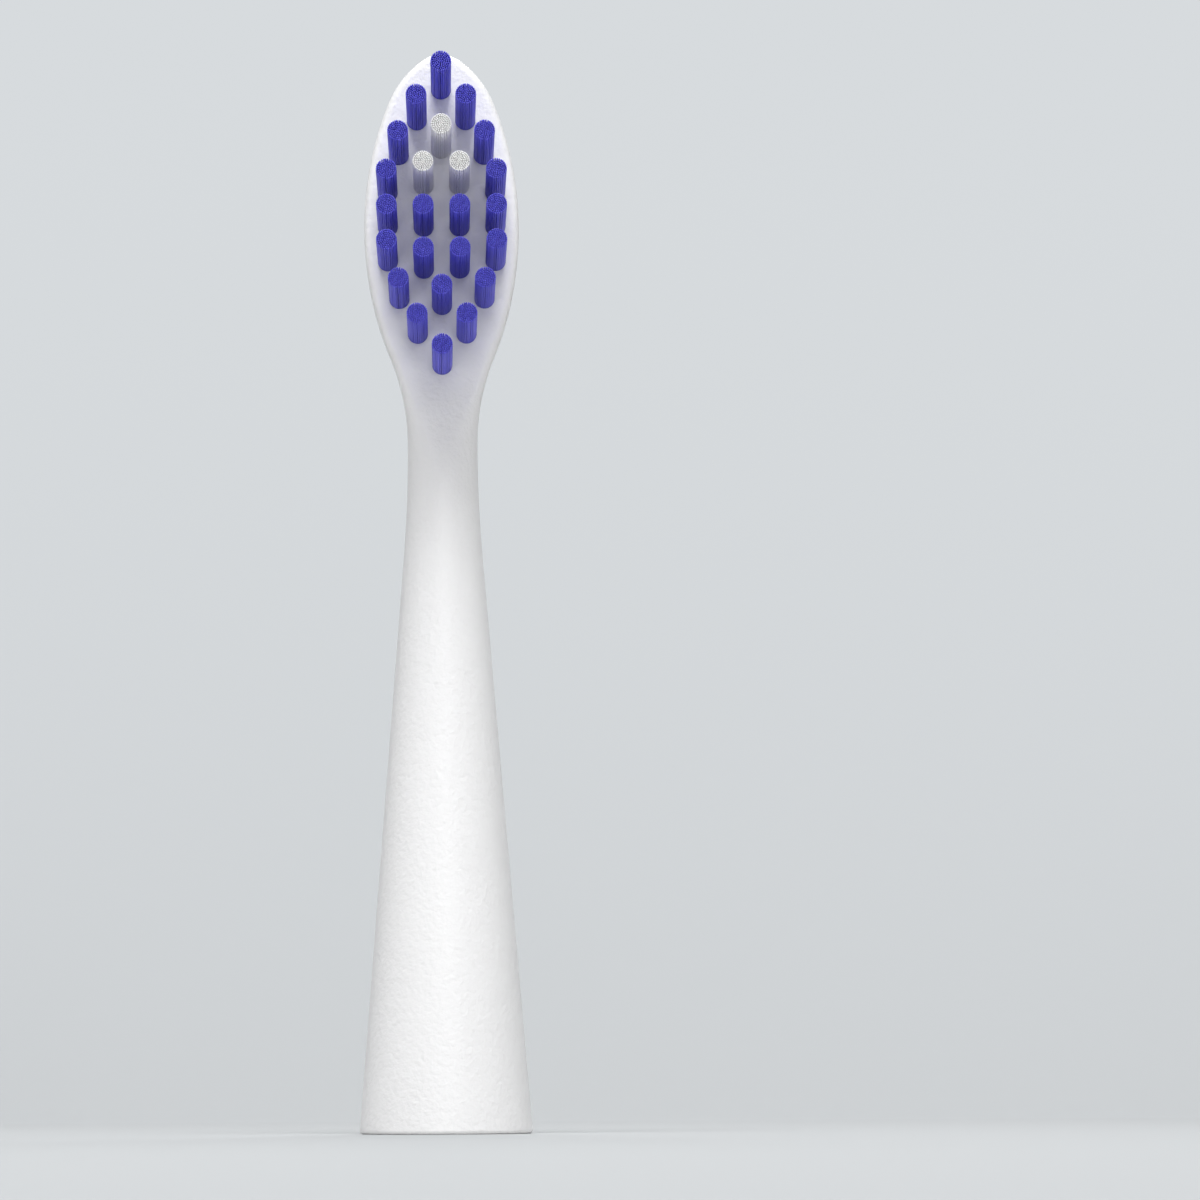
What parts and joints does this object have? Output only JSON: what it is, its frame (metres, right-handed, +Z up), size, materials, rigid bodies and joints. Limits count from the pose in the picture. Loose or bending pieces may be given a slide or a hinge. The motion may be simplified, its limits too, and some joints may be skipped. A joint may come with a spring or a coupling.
{
  "type": "electric toothbrush head",
  "caption": "Push-on sonic toothbrush head: white tapered neck with an inner shaft socket, and an oval head holding indigo and white bristle tufts.",
  "frame": {"origin": "on the shaft axis, in the plane of the base rim that the head stands on", "axes": "+Z up the shaft axis towards the tip, -Y the way the tufts point, +X to the right of the face"},
  "size_m": [0.0134, 0.0192, 0.085],
  "materials": {
    "body_plastic": "satin",
    "sleeve_plastic": "satin",
    "spring_steel": "brushed",
    "anchor_wire": "plain",
    "indigo_nylon": "satin",
    "white_nylon": "satin"
  },
  "bodies": {
    "root": {"brush_body": "body_plastic", "shaft_sleeve": "sleeve_plastic", "spring_clip": "spring_steel", "tuft_anchors": "anchor_wire", "tuft_tip": "indigo_nylon", "tuft_heel": "indigo_nylon", "tuft_core_tip": "white_nylon", "tuft_core_heel": "indigo_nylon", "tuft_left_1": "indigo_nylon", "tuft_left_2": "indigo_nylon", "tuft_left_3": "indigo_nylon", "tuft_left_4": "indigo_nylon", "tuft_left_5": "indigo_nylon", "tuft_left_6": "indigo_nylon", "tuft_left_7": "indigo_nylon", "tuft_core_left_1": "white_nylon", "tuft_core_left_2": "indigo_nylon", "tuft_core_left_3": "indigo_nylon", "tuft_right_1": "indigo_nylon", "tuft_right_2": "indigo_nylon", "tuft_right_3": "indigo_nylon", "tuft_right_4": "indigo_nylon", "tuft_right_5": "indigo_nylon", "tuft_right_6": "indigo_nylon", "tuft_right_7": "indigo_nylon", "tuft_core_right_1": "white_nylon", "tuft_core_right_2": "indigo_nylon", "tuft_core_right_3": "indigo_nylon"}
  },
  "joints": []
}
